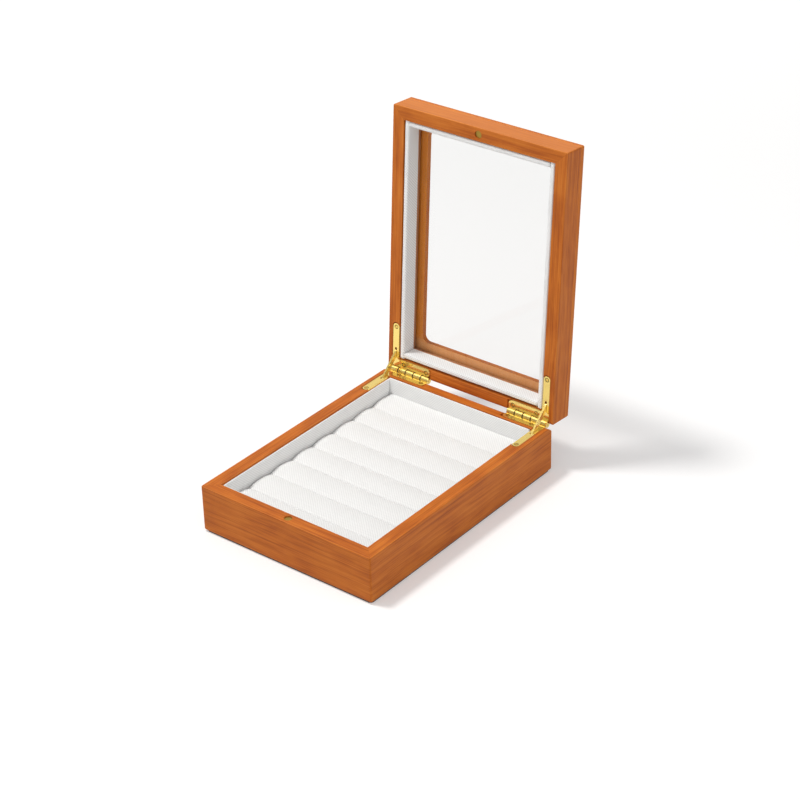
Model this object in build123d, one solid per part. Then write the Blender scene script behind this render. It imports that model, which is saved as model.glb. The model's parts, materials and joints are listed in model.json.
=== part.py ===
from build123d import *
import math
import os

# A wooden ring box with a hinged, glazed lid, standing open.
# Millimetres, +Z up. X runs left to right, Y from the front to the hinged back.
# The origin is the centre of the underside.
# Every piece of the lid is drawn on the closed box and then turned open about the hinge pins.

# Closed box
box_width = 130.0
box_depth = 180.0
box_height = 50.0
base_height = 32.0
open_angle = 94.0

# Wooden frames, each four mitred rails
side_wall = 8.5
front_wall = 8.5
base_back_wall = 10.0
lid_back_wall = 7.9
corner_radius = 1.1
underside_radius = 1.5
top_radius = 1.3
rim_arris = 0.4
seam_arris = 0.25
base_back_round = 6.0
lid_back_round = 2.5

# Underside and floor
felt_thickness = 0.8
felt_inset = 1.0
felt_corner = 2.5
floor_thickness = 3.0

# Top panel, its window and the glass under it
panel_thickness = 3.5
window_side_margin = 16.5
window_front_margin = 17.5
window_back_margin = 17.7
window_corner = 4.5
glass_thickness = 2.0
glass_clearance = 0.2
glass_seat_gap = 0.05

# Fabric-covered lining boards
base_lining_thickness = 1.3
lid_lining_thickness = 3.9
lining_drop = 0.4
base_side_lining_drop = 1.2
lining_edge_radius = 0.45
lid_lining_gap = 1.0

# Ring tray
card_thickness = 1.2
tray_clearance = 0.15
roll_count = 8
roll_gap = 0.3
roll_height = 16.3
roll_crown = 2.1
roll_corner = 2.2
roll_end_radius = 1.6
roll_draw_in = 0.5

# Magnets in the front rails
magnet_radius = 2.5
magnet_thickness = 2.0
magnet_inset = 4.5
magnet_recess = 0.7
magnet_clearance = 0.02

# Hinge leaves and barrels
leaf_thickness = 1.45
leaf_recess = 0.2
mortise_clearance = 0.35
mortise_end_room = 0.8
leg_inset = 5.9
leg_width = 4.7
leg_reach = 32.5
foot_reach = 7.5
barrel_radius = 2.1
barrel_clearance = 0.3
barrel_outer_inset = 3.2
knuckle_count = 5
knuckle_pitch = 6.12
knuckle_gap = 0.35
pin_radius = 0.8
running_clearance = 0.05

# Countersunk hinge screws
screw_head_radius = 1.45
screw_head_height = 0.7
screw_shank_radius = 0.85
screw_length = 6.0
screw_tip = 1.2
screw_clearance = 0.03
screw_slot_width = 0.45
screw_slot_depth = 0.35
leg_screw_inset = 2.5
foot_screw_inset = 4.7
foot_screw_end = 3.2
foot_screw_spacing = 18.1

# Lid stays: a flat bar hung in the lid leaf that slides through the base leaf
stay_radius = 12.0
stay_thickness = 1.2
stay_width = 3.2
stay_side_clearance = 0.2
stay_end_clearance = 0.5
stay_pivot_radius = 0.4
stay_pivot_end_gap = 0.2
stay_stop_radius = 0.75
stay_stop_length = 3.0
stay_stop_gap = 0.05
stay_pocket_clearance = 0.5
swing_steps = 20
press_clearance = 0.01

# Places worked out from the sizes above
half_width = box_width / 2
half_depth = box_depth / 2
inner_x = half_width - side_wall
front_y = -half_depth + front_wall
base_back_y = half_depth - base_back_wall
lid_back_y = half_depth - lid_back_wall
floor_top = felt_thickness + floor_thickness
panel_low = box_height - panel_thickness
glass_high = panel_low - glass_seat_gap
glass_low = glass_high - glass_thickness
tray_x = inner_x - base_lining_thickness - tray_clearance
tray_front = front_y + base_lining_thickness + tray_clearance
tray_back = base_back_y - base_lining_thickness - tray_clearance
card_top = floor_top + card_thickness

pin_y = half_depth
pin_z = base_height
pin_axis = Axis((0, pin_y, pin_z), (1, 0, 0))
barrel_outer = half_width - barrel_outer_inset
barrel_inner = barrel_outer - knuckle_count * knuckle_pitch
barrel_hollow = barrel_radius + barrel_clearance
leg_x = half_width - leg_inset
leg_tip = half_depth - leg_reach
foot_front = half_depth - foot_reach
foot_back = pin_y - barrel_radius - barrel_clearance
foot_middle = (foot_front + foot_back) / 2
leaf_top = base_height - leaf_recess
leaf_low = leaf_top - leaf_thickness
screw_places = [
    (leg_x, leg_tip + leg_screw_inset),
    (barrel_inner + foot_screw_end, half_depth - foot_screw_inset),
    (barrel_inner + foot_screw_end + foot_screw_spacing, half_depth - foot_screw_inset),
]

# The stay's pivot in the lid leaf and its guide slot in the base leaf lie at one radius from
# the pin, one just above the rim plane and one just below, so the bar turns half as far as the lid.
stay_y = pin_y - stay_radius
pivot_offset = leaf_recess + leaf_thickness / 2
pivot_z = base_height + pivot_offset
stay_tilt = math.radians(open_angle / 2)
true_radius = math.hypot(stay_radius, pivot_offset)
open_chord = 2 * true_radius * math.sin(stay_tilt + math.atan2(pivot_offset, stay_radius))
stop_drop = leaf_thickness / 2 + stay_stop_radius + stay_stop_gap
stay_length = open_chord + stop_drop / math.cos(stay_tilt)
slot_width = stay_thickness + 2 * stay_side_clearance
slot_reach = stay_width / 2 / math.cos(stay_tilt) + leaf_thickness / 2 * math.tan(stay_tilt)
slot_length = 2 * (slot_reach + stay_end_clearance)


def block(x_span, y_span, z_span):
    """A box between two values on each axis."""
    size = [span[1] - span[0] for span in (x_span, y_span, z_span)]
    corner = [span[0] for span in (x_span, y_span, z_span)]
    return Pos(*corner) * Box(*size, align=(Align.MIN, Align.MIN, Align.MIN))


def plate(sketch, z_span):
    """A flat sketch thickened between two heights."""
    return extrude(Pos(0, 0, z_span[0]) * sketch, z_span[1] - z_span[0])


def area(x_span, y_span):
    """A flat rectangle between two values on each axis."""
    size = (x_span[1] - x_span[0], y_span[1] - y_span[0])
    return Pos(x_span[0], y_span[0]) * Rectangle(*size, align=(Align.MIN, Align.MIN))


def rod(radius, x_span, y, z):
    """A round bar along X."""
    middle = (x_span[0] + x_span[1]) / 2
    return Pos(middle, y, z) * Rot(0, 90, 0) * Cylinder(radius, x_span[1] - x_span[0])


def both_sides(shape):
    """A right-hand shape with its mirror image on the left."""
    return shape + mirror(shape, about=Plane.YZ)


def across_rim(shape):
    """The same shape on the lid's side of the closed rims."""
    return mirror(shape, about=Plane.XY.offset(base_height))


def opened(shape):
    """A lid piece turned from closed to open about the hinge pins."""
    return shape.rotate(pin_axis, -open_angle)


# Wooden frames


def outer_block(z_span, low_radius, high_radius):
    """The outside of one frame, with rounded corners and eased edges."""
    body = block((-half_width, half_width), (-half_depth, half_depth), z_span)
    body = fillet(body.edges().filter_by(Axis.Z), corner_radius)
    body = fillet(body.faces().sort_by(Axis.Z)[0].edges(), low_radius)
    return fillet(body.faces().sort_by(Axis.Z)[-1].edges(), high_radius)


def back_round(radius):
    """What a round-over of this radius takes off the base's top edge at the back."""
    span = (-box_width, box_width)
    corner = block(span, (half_depth - radius, box_depth), (base_height - radius, box_height))
    return corner - rod(radius, span, half_depth - radius, base_height - radius)


def mitre(side, end, wall):
    """Two points on a corner's mitre line, one inside the frame and one outside it."""
    outer = Vector(side * half_width, end * half_depth)
    step = Vector(side * side_wall, end * wall)
    return outer - step - step / 3, outer + step / 3


def rails(frame, back_wall):
    """One frame cut into its front, right, back and left rails along the mitres."""
    corners = [mitre(-1, -1, front_wall), mitre(1, -1, front_wall)]
    corners += [mitre(1, 1, back_wall), mitre(-1, 1, back_wall)]
    pieces = {}
    for index, name in enumerate(["front", "right", "back", "left"]):
        start, end = corners[index], corners[(index + 1) % len(corners)]
        region = make_face(Polyline(start[1], end[1], end[0], start[0], close=True))
        pieces[name] = frame & plate(region, (0, box_height))
    return pieces


def hinge_mortise():
    """The recess for one base leaf and its barrel, on the right, with room past the leaf's ends."""
    grow = mortise_clearance
    barrel_span = (barrel_inner - mortise_end_room, barrel_outer + grow)
    foot = area(barrel_span, (foot_front - grow, box_depth))
    tip = Pos(0, grow - mortise_end_room) * leaf_plan(grow)
    recess = plate(leaf_plan(grow) + tip + foot, (leaf_low, box_height))
    return recess + rod(barrel_hollow, barrel_span, pin_y, pin_z)


def stay_pocket(y_span, z_span):
    """Room for one stay inside a rail, on the right."""
    half = stay_stop_length / 2 + stay_pocket_clearance / 2
    return block((leg_x - half, leg_x + half), y_span, z_span)


def base_frame():
    """The base's frame with its hollow, hinge mortises, stay pockets and holes."""
    frame = outer_block((felt_thickness, base_height), underside_radius, rim_arris)
    frame -= back_round(base_back_round)
    frame -= block((-inner_x, inner_x), (front_y, base_back_y), (0, box_height))
    # The bar's end swings forward as it rises, furthest about half way through its travel
    room = stay_width / 2 + stay_pocket_clearance
    swing = max(stay_swing(stay_tilt * step / swing_steps) for step in range(swing_steps + 1))
    low = pivot_z - stay_length - room
    pocket = stay_pocket((stay_y - swing - room, stay_y + room), (low, leaf_top))
    cuts = both_sides(hinge_mortise() + pocket)
    for place in screw_places:
        cuts += both_sides(screw(place, screw_clearance))
    return frame - cuts - magnet(magnet_clearance)


def stay_swing(tilt):
    """How far the stay's stop lies in front of the guide slot at this tilt from upright."""
    lift = 2 * true_radius * math.sin(tilt + math.atan2(pivot_offset, stay_radius))
    return (stay_length - lift) * math.sin(tilt)


def lid_frame():
    """The lid's frame on the closed box, with the same fittings cut from its rims."""
    frame = outer_block((base_height, panel_low), rim_arris, seam_arris)
    frame -= across_rim(back_round(lid_back_round))
    frame -= block((-inner_x, inner_x), (front_y, lid_back_y), (0, box_height))
    room = stay_width / 2 + stay_pocket_clearance
    pocket = stay_pocket((stay_y - room, stay_y + room), (base_height, pivot_z + room))
    cuts = both_sides(across_rim(hinge_mortise()) + pocket)
    for place in screw_places:
        cuts += both_sides(across_rim(screw(place, screw_clearance)))
    return frame - cuts - across_rim(magnet(magnet_clearance))


def window_panel():
    """The lid's top, with eased edges and a round-cornered window."""
    panel = outer_block((panel_low, box_height), seam_arris, top_radius)
    span_x = (-half_width + window_side_margin, half_width - window_side_margin)
    span_y = (-half_depth + window_front_margin, half_depth - window_back_margin)
    window = area(span_x, span_y)
    window = fillet(window.vertices(), window_corner)
    return panel - plate(window, (0, box_height))


# Floor, felt and glass


def floor_panel():
    return block((-inner_x, inner_x), (front_y, base_back_y), (felt_thickness, floor_top))


def felt_pad():
    width = box_width - 2 * felt_inset
    depth = box_depth - 2 * felt_inset
    return plate(RectangleRounded(width, depth, felt_corner), (0, felt_thickness))


def glass_pane():
    x = inner_x - glass_clearance
    y_span = (front_y + glass_clearance, lid_back_y - glass_clearance)
    return block((-x, x), y_span, (glass_low, glass_high))


# Linings


def lining_board(x_span, y_span, z_span, rim_end):
    """One covered board, its two long edges at the rim rounded over."""
    board = block(x_span, y_span, z_span)
    along = Axis.X if x_span[1] - x_span[0] > y_span[1] - y_span[0] else Axis.Y
    edges = board.edges().filter_by(along).sort_by(Axis.Z)
    rim_edges = edges[-2:] if rim_end == "high" else edges[:2]
    return fillet(rim_edges, lining_edge_radius)


def linings(thickness, y_span, z_span, side_z_span, rim_end):
    """Four boards round a hollow: the side boards run through, the others fit between."""
    inside = inner_x - thickness
    front = (y_span[0], y_span[0] + thickness)
    back = (y_span[1] - thickness, y_span[1])
    return {
        "front": lining_board((-inside, inside), front, z_span, rim_end),
        "back": lining_board((-inside, inside), back, z_span, rim_end),
        "left": lining_board((-inner_x, -inside), y_span, side_z_span, rim_end),
        "right": lining_board((inside, inner_x), y_span, side_z_span, rim_end),
    }


# Ring tray


def tray_card():
    return block((-tray_x, tray_x), (tray_front, tray_back), (floor_top, card_top))


def ring_roll(index):
    """One padded roll: crowned on top, rounded at its ends, drawn in towards the card."""
    pitch = (tray_back - tray_front) / roll_count
    half = (pitch - roll_gap) / 2
    foot = half - roll_draw_in
    shoulder = roll_height - roll_crown
    waist = half - roll_draw_in / 4
    outline = [
        Line((-foot, 0), (foot, 0)),
        ThreePointArc((foot, 0), (waist, shoulder / 2), (half, shoulder)),
        ThreePointArc((half, shoulder), (0, roll_height), (-half, shoulder)),
        ThreePointArc((-half, shoulder), (-waist, shoulder / 2), (-foot, 0)),
    ]
    section = make_face(Curve() + outline)
    section = fillet(section.vertices().sort_by(Axis.Y)[-2:], roll_corner)
    roll = extrude(Plane.YZ * section, tray_x, both=True)
    ends = roll.faces().filter_by(Axis.X).edges()
    roll = fillet([edge for edge in ends if edge.center().Z > 0], roll_end_radius)
    return Pos(0, tray_front + pitch * (index + 0.5), card_top) * roll


# Magnets


def magnet(grow):
    """The base's magnet, or with some growth the hole that it sits in."""
    place = Pos(0, -half_depth + magnet_inset, base_height - magnet_recess - magnet_thickness)
    height = magnet_thickness + (box_height if grow else 0)
    align = (Align.CENTER, Align.CENTER, Align.MIN)
    return place * Cylinder(magnet_radius + grow, height, align=align)


# Hinges


def leaf_plan(grow):
    """One leaf seen from above, on the right: a leg along the side and a foot along the back."""
    half = leg_width / 2 + grow
    tip_y = leg_tip + leg_width / 2
    leg = Pos(leg_x, tip_y) * Circle(half) + area((leg_x - half, leg_x + half), (tip_y, foot_back))
    end_radius = (foot_back - foot_front) / 2 + grow
    end = Pos(barrel_inner + end_radius - grow, foot_middle) * Circle(end_radius)
    foot_span = (barrel_inner + end_radius - grow, barrel_outer + grow)
    return leg + end + area(foot_span, (foot_front - grow, foot_back + grow))


def hinge_leaf(own_knuckles):
    """A right-hand base leaf: slotted and drilled plate with this leaf's knuckles."""
    leaf = plate(leaf_plan(0), (leaf_low, leaf_top))
    for index in own_knuckles:
        start = barrel_inner + knuckle_pitch * index + knuckle_gap / 2
        span = (start, start + knuckle_pitch - knuckle_gap)
        leaf += block(span, (foot_middle, pin_y), (leaf_low, leaf_top))
        leaf += rod(barrel_radius, span, pin_y, pin_z)
    slot = Pos(leg_x, stay_y) * SlotOverall(slot_length, slot_width, rotation=90)
    leaf -= plate(slot, (0, box_height))
    for place in screw_places:
        leaf -= screw(place, screw_clearance)
    whole = (barrel_inner - knuckle_pitch, half_width)
    return leaf - rod(pin_radius + running_clearance, whole, pin_y, pin_z)


def lid_leaf(own_knuckles):
    """A right-hand lid leaf on the closed box, cross-drilled for the stay's pivot."""
    whole = (leg_x - leg_width, leg_x + leg_width)
    bore = rod(stay_pivot_radius + press_clearance, whole, stay_y, pivot_z)
    return across_rim(hinge_leaf(own_knuckles)) - bore


def hinge_pin():
    return rod(pin_radius, (barrel_inner, barrel_outer), pin_y, pin_z)


def screw(place, grow):
    """A countersunk screw with its head flush in a base leaf, or the hole for it."""
    head = screw_head_radius + grow
    shank = screw_shank_radius + grow
    profile = Polyline(
        (0, 0),
        (head, 0),
        (shank, -screw_head_height),
        (shank, screw_tip - screw_length),
        (0, -screw_length - grow),
        close=True,
    )
    body = revolve(Plane.XZ * make_face(profile), Axis.Z)
    if not grow:
        for turn in (0, 90):
            cut = Box(2 * screw_shank_radius, screw_slot_width, 2 * screw_slot_depth)
            body -= Rot(0, 0, turn) * cut
    return Pos(*place, leaf_top) * body


# Stays


def stay_bar():
    """The right-hand stay on the closed box, hanging from its pivot."""
    half = stay_thickness / 2
    span = (leg_x - half, leg_x + half)
    stop_z = pivot_z - stay_length
    bar = block(span, (stay_y - stay_width / 2, stay_y + stay_width / 2), (stop_z, pivot_z))
    bar += rod(stay_width / 2, span, stay_y, pivot_z)
    bar += rod(stay_width / 2, span, stay_y, stop_z)
    bar -= rod(stay_pivot_radius + running_clearance, span, stay_y, pivot_z)
    return bar - rod(stay_stop_radius + press_clearance, span, stay_y, stop_z)


def stay_pivot():
    half = leg_width / 2 - stay_pivot_end_gap
    return rod(stay_pivot_radius, (leg_x - half, leg_x + half), stay_y, pivot_z)


def stay_stop():
    half = stay_stop_length / 2
    span = (leg_x - half, leg_x + half)
    return rod(stay_stop_radius, span, stay_y, pivot_z - stay_length)


def stay_opened(shape):
    """A stay piece carried open with the lid, turned back half as far about its own pivot."""
    pivot = Axis((leg_x, stay_y, pivot_z), (1, 0, 0))
    return opened(shape.rotate(pivot, open_angle / 2))


# All the pieces by name

pieces = {}

for name, rail in rails(base_frame(), base_back_wall).items():
    pieces[f"base_{name}_rail"] = rail
for name, rail in rails(lid_frame(), lid_back_wall).items():
    pieces[f"lid_{name}_rail"] = opened(rail)

pieces["base_felt_pad"] = felt_pad()
pieces["base_floor_panel"] = floor_panel()
pieces["lid_window_panel"] = opened(window_panel())
pieces["lid_glass"] = opened(glass_pane())

base_span = (floor_top, base_height - lining_drop)
base_side_span = (floor_top, base_height - base_side_lining_drop)
base_linings = linings(
    base_lining_thickness, (front_y, base_back_y), base_span, base_side_span, "high"
)
for name, board in base_linings.items():
    pieces[f"base_lining_{name}"] = board
lid_span = (base_height + lining_drop, glass_low)
lid_linings = linings(
    lid_lining_thickness, (front_y, lid_back_y - lid_lining_gap), lid_span, lid_span, "low"
)
for name, board in lid_linings.items():
    pieces[f"lid_lining_{name}"] = opened(board)

pieces["ring_tray_card"] = tray_card()
for index in range(roll_count):
    pieces[f"ring_roll_{index + 1}"] = ring_roll(index)

pieces["base_magnet"] = magnet(0)
pieces["lid_magnet"] = opened(across_rim(magnet(0)))

# The two hinges are one pattern turned over, so their knuckles alternate the other way round
outer_knuckles = range(0, knuckle_count, 2)
inner_knuckles = range(1, knuckle_count, 2)
for side, base_set, lid_set in (
    ("left", outer_knuckles, inner_knuckles),
    ("right", inner_knuckles, outer_knuckles),
):
    fittings = {
        f"{side}_hinge_base_leaf": hinge_leaf(base_set),
        f"{side}_hinge_lid_leaf": opened(lid_leaf(lid_set)),
        f"{side}_hinge_pin": hinge_pin(),
        f"{side}_stay": stay_opened(stay_bar()),
        f"{side}_stay_stop": stay_opened(stay_stop()),
        f"{side}_stay_pivot": opened(stay_pivot()),
    }
    for number, place in enumerate(screw_places, start=1):
        fittings[f"{side}_hinge_base_screw_{number}"] = screw(place, 0)
        fittings[f"{side}_hinge_lid_screw_{number}"] = opened(across_rim(screw(place, 0)))
    for name, fitting in fittings.items():
        pieces[name] = mirror(fitting, about=Plane.YZ) if side == "left" else fitting

os.makedirs("parts", exist_ok=True)
for name, piece in pieces.items():
    export_step(piece, f"parts/{name}.step")
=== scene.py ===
# %% [markdown]
# # A ring box that stands open
#
# The box is wood, linen, glass and polished brass. Its rigid pieces come ready made from the
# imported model, which is the fixed frame here, and this file gives them their finish.
# The soft pieces, which are the ring rolls and the covered lining boards, are modelled here.

# %% Load the frame
import json
import math

import bmesh
import bpy
from mathutils import Matrix, Vector, noise

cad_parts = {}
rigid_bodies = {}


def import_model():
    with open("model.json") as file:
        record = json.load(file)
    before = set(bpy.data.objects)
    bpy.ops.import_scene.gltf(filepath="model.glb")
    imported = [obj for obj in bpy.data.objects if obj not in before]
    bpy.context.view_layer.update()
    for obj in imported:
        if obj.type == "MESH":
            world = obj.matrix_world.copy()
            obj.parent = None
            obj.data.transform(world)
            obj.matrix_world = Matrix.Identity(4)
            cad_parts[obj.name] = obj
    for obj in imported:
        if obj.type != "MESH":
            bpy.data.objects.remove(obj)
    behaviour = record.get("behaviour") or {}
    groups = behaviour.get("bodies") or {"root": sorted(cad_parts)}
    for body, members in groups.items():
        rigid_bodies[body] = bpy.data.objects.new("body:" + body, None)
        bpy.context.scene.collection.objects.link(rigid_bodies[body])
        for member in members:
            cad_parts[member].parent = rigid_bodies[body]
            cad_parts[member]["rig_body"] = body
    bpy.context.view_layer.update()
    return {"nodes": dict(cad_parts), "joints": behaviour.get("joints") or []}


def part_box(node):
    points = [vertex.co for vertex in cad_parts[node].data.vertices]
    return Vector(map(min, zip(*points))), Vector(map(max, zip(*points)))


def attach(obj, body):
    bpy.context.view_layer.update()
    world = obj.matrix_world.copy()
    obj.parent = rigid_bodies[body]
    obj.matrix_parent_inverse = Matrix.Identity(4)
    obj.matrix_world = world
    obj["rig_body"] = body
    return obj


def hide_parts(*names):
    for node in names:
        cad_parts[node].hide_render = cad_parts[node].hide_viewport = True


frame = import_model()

nodes = frame["nodes"]
scene = bpy.context.scene
scene.view_settings.view_transform = "Standard"
mm = 0.001
mm_per_metre = 1000
print("nodes in the frame:", len(nodes))

# %% [markdown]
# ## The lid's own straight-up frame
#
# The lid stands open, so its pieces lie at a slant. It is easier to think of them on the shut
# box, where every edge runs along an axis. Two matrices go back and forth: one shuts the lid
# about the hinge pins, the other opens it again.

# %% Shut and open the lid
hinge = next(joint for joint in frame["joints"] if joint["child"] == "lid")
pin = Vector(hinge["pos_m"])
open_angle = math.radians(hinge["range_deg"][1])
turn_shut = Matrix.Rotation(open_angle, 4, "X")
shut = Matrix.Translation(pin) @ turn_shut @ Matrix.Translation(-pin)
opened = shut.inverted()


def shut_box(name):
    """The lowest and highest corner of a node, on the shut box."""
    body = nodes[name]["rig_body"]
    turn = shut if body == "lid" else Matrix.Identity(4)
    corners = [turn @ vertex.co for vertex in nodes[name].data.vertices]
    low = Vector([min(corner[axis] for corner in corners) for axis in range(3)])
    high = Vector([max(corner[axis] for corner in corners) for axis in range(3)])
    return low, high


print("lid opens by", round(math.degrees(open_angle), 1), "degrees")

# %% [markdown]
# ## Camera
#
# The photograph was taken with a long lens from the right, above the rim. The camera's angles
# and distance come from the box's known size and the places of its edges in the picture.

# %% Camera
camera_azimuth = math.radians(39.04)
camera_elevation = math.radians(30.27)
camera_roll = math.radians(1.56)
camera_place = Vector((728.9, -877.8, 736.7)) * mm
picture_pixels = 800
focal_pixels = 2202.5

level = math.cos(camera_elevation)
back = Vector((
    math.sin(camera_azimuth) * level,
    -math.cos(camera_azimuth) * level,
    math.sin(camera_elevation),
))
right = (-back).cross(Vector((0, 0, 1))).normalized()
down = (-back).cross(right)
turned_right = right * math.cos(camera_roll) + down * math.sin(camera_roll)
turned_down = down * math.cos(camera_roll) - right * math.sin(camera_roll)
axes = Matrix((turned_right, -turned_down, back)).transposed()

lens = bpy.data.cameras.new("camera")
lens.sensor_width = 36.0
lens.lens = focal_pixels / picture_pixels * lens.sensor_width
camera = bpy.data.objects.new("camera", lens)
scene.collection.objects.link(camera)
camera.matrix_world = Matrix.Translation(camera_place) @ axes.to_4x4()
scene.camera = camera
print("lens", round(lens.lens, 1), "mm")

# %% [markdown]
# ## Node trees as plain expressions
#
# A finish is a formula: so much grain, times so much stain. Writing it as Python keeps it
# readable, so `Value` wraps one output socket and adds a Math node for each operator, and
# `Tree` makes any other node in one call. `Finish` is a tree that belongs to a material.

# %% Node helpers


class Value:
    """One number that changes over a surface."""

    def __init__(self, tree, socket):
        self.tree = tree
        self.socket = socket

    def maths(self, operation, *others):
        inputs = dict(enumerate((self, *others)))
        return self.tree.node("ShaderNodeMath", {"operation": operation}, inputs)

    def __add__(self, other):
        return self.maths("ADD", other)

    def __sub__(self, other):
        return self.maths("SUBTRACT", other)

    def __mul__(self, other):
        return self.maths("MULTIPLY", other)

    def __truediv__(self, other):
        return self.maths("DIVIDE", other)

    def __rsub__(self, other):
        return (self * -1.0).maths("ADD", other)

    __radd__ = __add__
    __rmul__ = __mul__

    def __pow__(self, power):
        return self.maths("POWER", power)

    def sine(self):
        return self.maths("SINE")

    def fraction(self):
        return self.maths("FRACT")

    def whole(self):
        return self.maths("FLOOR")

    def size(self):
        return self.maths("ABSOLUTE")

    def larger(self, other):
        return self.maths("MAXIMUM", other)

    def smaller(self, other):
        return self.maths("MINIMUM", other)

    def between(self, low, high, out_low=0.0, out_high=1.0):
        """Eases from one value to another as this one goes from low to high."""
        settings = {"interpolation_type": "SMOOTHSTEP"}
        inputs = {"Value": self, "From Min": low, "From Max": high,
                  "To Min": out_low, "To Max": out_high}
        return self.tree.node("ShaderNodeMapRange", settings, inputs)


class Tree:
    """A node tree whose nodes are added one call at a time."""

    def __init__(self, tree):
        self.tree = tree
        tree.nodes.clear()

    def link(self, source, socket):
        """Feeds a socket from a value, from another socket or with a plain number."""
        if isinstance(source, Value):
            self.tree.links.new(source.socket, socket)
        elif isinstance(source, bpy.types.NodeSocket):
            self.tree.links.new(source, socket)
        else:
            socket.default_value = source

    def make(self, kind, settings=None, inputs=None):
        """A node of this kind, with its settings made first and then its sockets."""
        node = self.tree.nodes.new(kind)
        for name, setting in (settings or {}).items():
            if name == "stops":
                self.set_stops(node.color_ramp, setting)
            else:
                setattr(node, name, setting)
        for name, value in (inputs or {}).items():
            self.link(value, node.inputs[name])
        return node

    def set_stops(self, ramp, stops):
        """Gives a colour ramp its stops, each a place and a colour."""
        while len(ramp.elements) < len(stops):
            ramp.elements.new(1.0)
        for element, (place, colour) in zip(ramp.elements, stops):
            element.position = place
            element.color = (*colour, 1.0)

    def node(self, kind, settings=None, inputs=None, output=0):
        """The named output of a new node, as a value."""
        return Value(self, self.make(kind, settings, inputs).outputs[output])


class Finish(Tree):
    """The node tree of a material or a world."""

    def __init__(self, owner):
        owner.use_nodes = True
        self.owner = owner
        super().__init__(owner.node_tree)

    def place(self, source="Object", location=(0, 0, 0), rotation=(0, 0, 0), scale=(1, 1, 1)):
        """Coordinates, moved, turned and scaled."""
        where = self.make("ShaderNodeTexCoord").outputs[source]
        inputs = {"Vector": where, "Location": location, "Rotation": rotation, "Scale": scale}
        return self.make("ShaderNodeMapping", {"vector_type": "POINT"}, inputs).outputs[0]

    def in_mm(self, location=(0, 0, 0), rotation=(0, 0, 0)):
        """Coordinates in millimetres, moved and turned."""
        return self.place("Object", location, rotation, (mm_per_metre,) * 3)

    def parts(self, vector):
        """The three coordinates of a vector as values."""
        split = self.make("ShaderNodeSeparateXYZ", None, {"Vector": vector})
        return [Value(self, output) for output in split.outputs]

    def join(self, x, y, z):
        """Three values as one vector."""
        return self.node("ShaderNodeCombineXYZ", None, {"X": x, "Y": y, "Z": z}).socket

    def cloud(self, vector, scale=1.0, detail=2.0, roughness=0.5):
        """Soft noise from 0 to 1."""
        inputs = {"Vector": vector, "Scale": scale, "Detail": detail, "Roughness": roughness}
        return self.node("ShaderNodeTexNoise", None, inputs)

    def ramp(self, factor, stops):
        """A colour read from a row of stops."""
        return self.node("ShaderNodeValToRGB", {"stops": stops}, {"Fac": factor}).socket

    def mix(self, factor, first, second):
        """Two colours mixed by a factor."""
        node = self.make("ShaderNodeMix", {"data_type": "RGBA"})
        for index, value in ((0, factor), (6, first), (7, second)):
            self.link(value, node.inputs[index])
        return node.outputs[2]

    def bump(self, height, depth):
        """A normal from a height of 0 to 1, this many metres deep."""
        inputs = {"Height": height, "Distance": depth, "Strength": 1.0}
        return self.make("ShaderNodeBump", None, inputs).outputs[0]

    def surface(self, shader):
        """Ends the tree with this shader."""
        kind = "World" if isinstance(self.owner, bpy.types.World) else "Material"
        output = self.make(f"ShaderNodeOutput{kind}")
        self.link(shader, output.inputs["Surface"])

    def principled(self, inputs):
        """Ends the tree with one Principled shader."""
        shader = self.make("ShaderNodeBsdfPrincipled", None, inputs).outputs[0]
        self.surface(shader)


def new_finish(name):
    """The empty node tree of a new material."""
    return Finish(bpy.data.materials.new(name))


def dress(node, material):
    """Gives a node of the frame its finish."""
    for slot in nodes[node].material_slots:
        slot.material = material


def shut_place(finish, on_lid):
    """Coordinates in millimetres on the shut box, with the pin line as a fixed line."""
    if not on_lid:
        return finish.in_mm()
    turned = turn_shut.to_3x3() @ pin
    return finish.in_mm((pin - turned) * mm_per_metre, (open_angle, 0, 0))


# %% [markdown]
# ## Stained wood
#
# Each rail is a straight-grained stick of a fine, even timber, stained warm orange-brown under
# a thin satin lacquer. What shows is mostly fibre: short streaks along the rail, a soft mottle
# where the stain took unevenly, and only a hint of growth rings, which are distances from a
# heart far below the rail. Along the sharp edges the wood is paler: partly worn lacquer, partly a
# painted highlight where the rounded arris catches the light.
# The grain has to run along each rail, and the rails meet at mitres, so each rail's finish has
# its own direction and its own place in the tree.

# %% Wood
wood_dark = (0.360, 0.078, 0.011)
wood_warm = (0.575, 0.154, 0.019)
wood_light = (0.690, 0.225, 0.034)
wood_worn_and_highlit = (0.86, 0.36, 0.085, 1.0)
# A paler colour painted as sheen on the lid's face that lies uppermost
wood_painted_sheen = (0.72, 0.25, 0.060, 1.0)
# Painted light on the panel's underside behind the glass, strongest beside the hinges
wood_lit_behind_glass = (1.0, 0.345, 0.052, 1.0)
wood_lit_by_hinges = (1.0, 0.48, 0.190, 1.0)
wood_glue = (0.10, 0.03, 0.01, 1.0)
half_width, half_depth, rim_z = 65.0, 90.0, 32.0
rail_width = 8.5
back_rail_width = {"base": 10.0, "lid": 7.9}
joint_line_width = 0.16
pale_edge_width = 0.45
pale_edge_inset = 0.3
ring_spacing, heart_depth = 3.1, 38.0
glass_face_z = 46.6
hinge_light_start, hinge_light_full = 68.0, 74.0
rim_darkening = {"base": 0.08, "lid": 0.03}


def mitre_seam(x, y, part):
    """1 on the thin glue line where this frame's rails meet at a mitre, else 0."""
    back_run = rail_width / back_rail_width[part]
    front = x.size() + (y + half_depth) - half_width
    behind = x.size() + (half_depth - y) * back_run - half_width
    return 1.0 - front.size().smaller(behind.size()).between(0.0, joint_line_width)


def edge_wear_and_highlight(x, y, z, half, front, behind):
    """1 along one rectangle of sharp edges at the height of the rim, else 0."""
    middle, reach = (front + behind) / 2, (behind - front) / 2
    off_plan = (x.size() - half).larger((y - middle).size() - reach)
    distance = (off_plan * off_plan + (z - rim_z) * (z - rim_z)) ** 0.5
    return 1.0 - distance.between(0.1, pale_edge_width)


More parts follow.
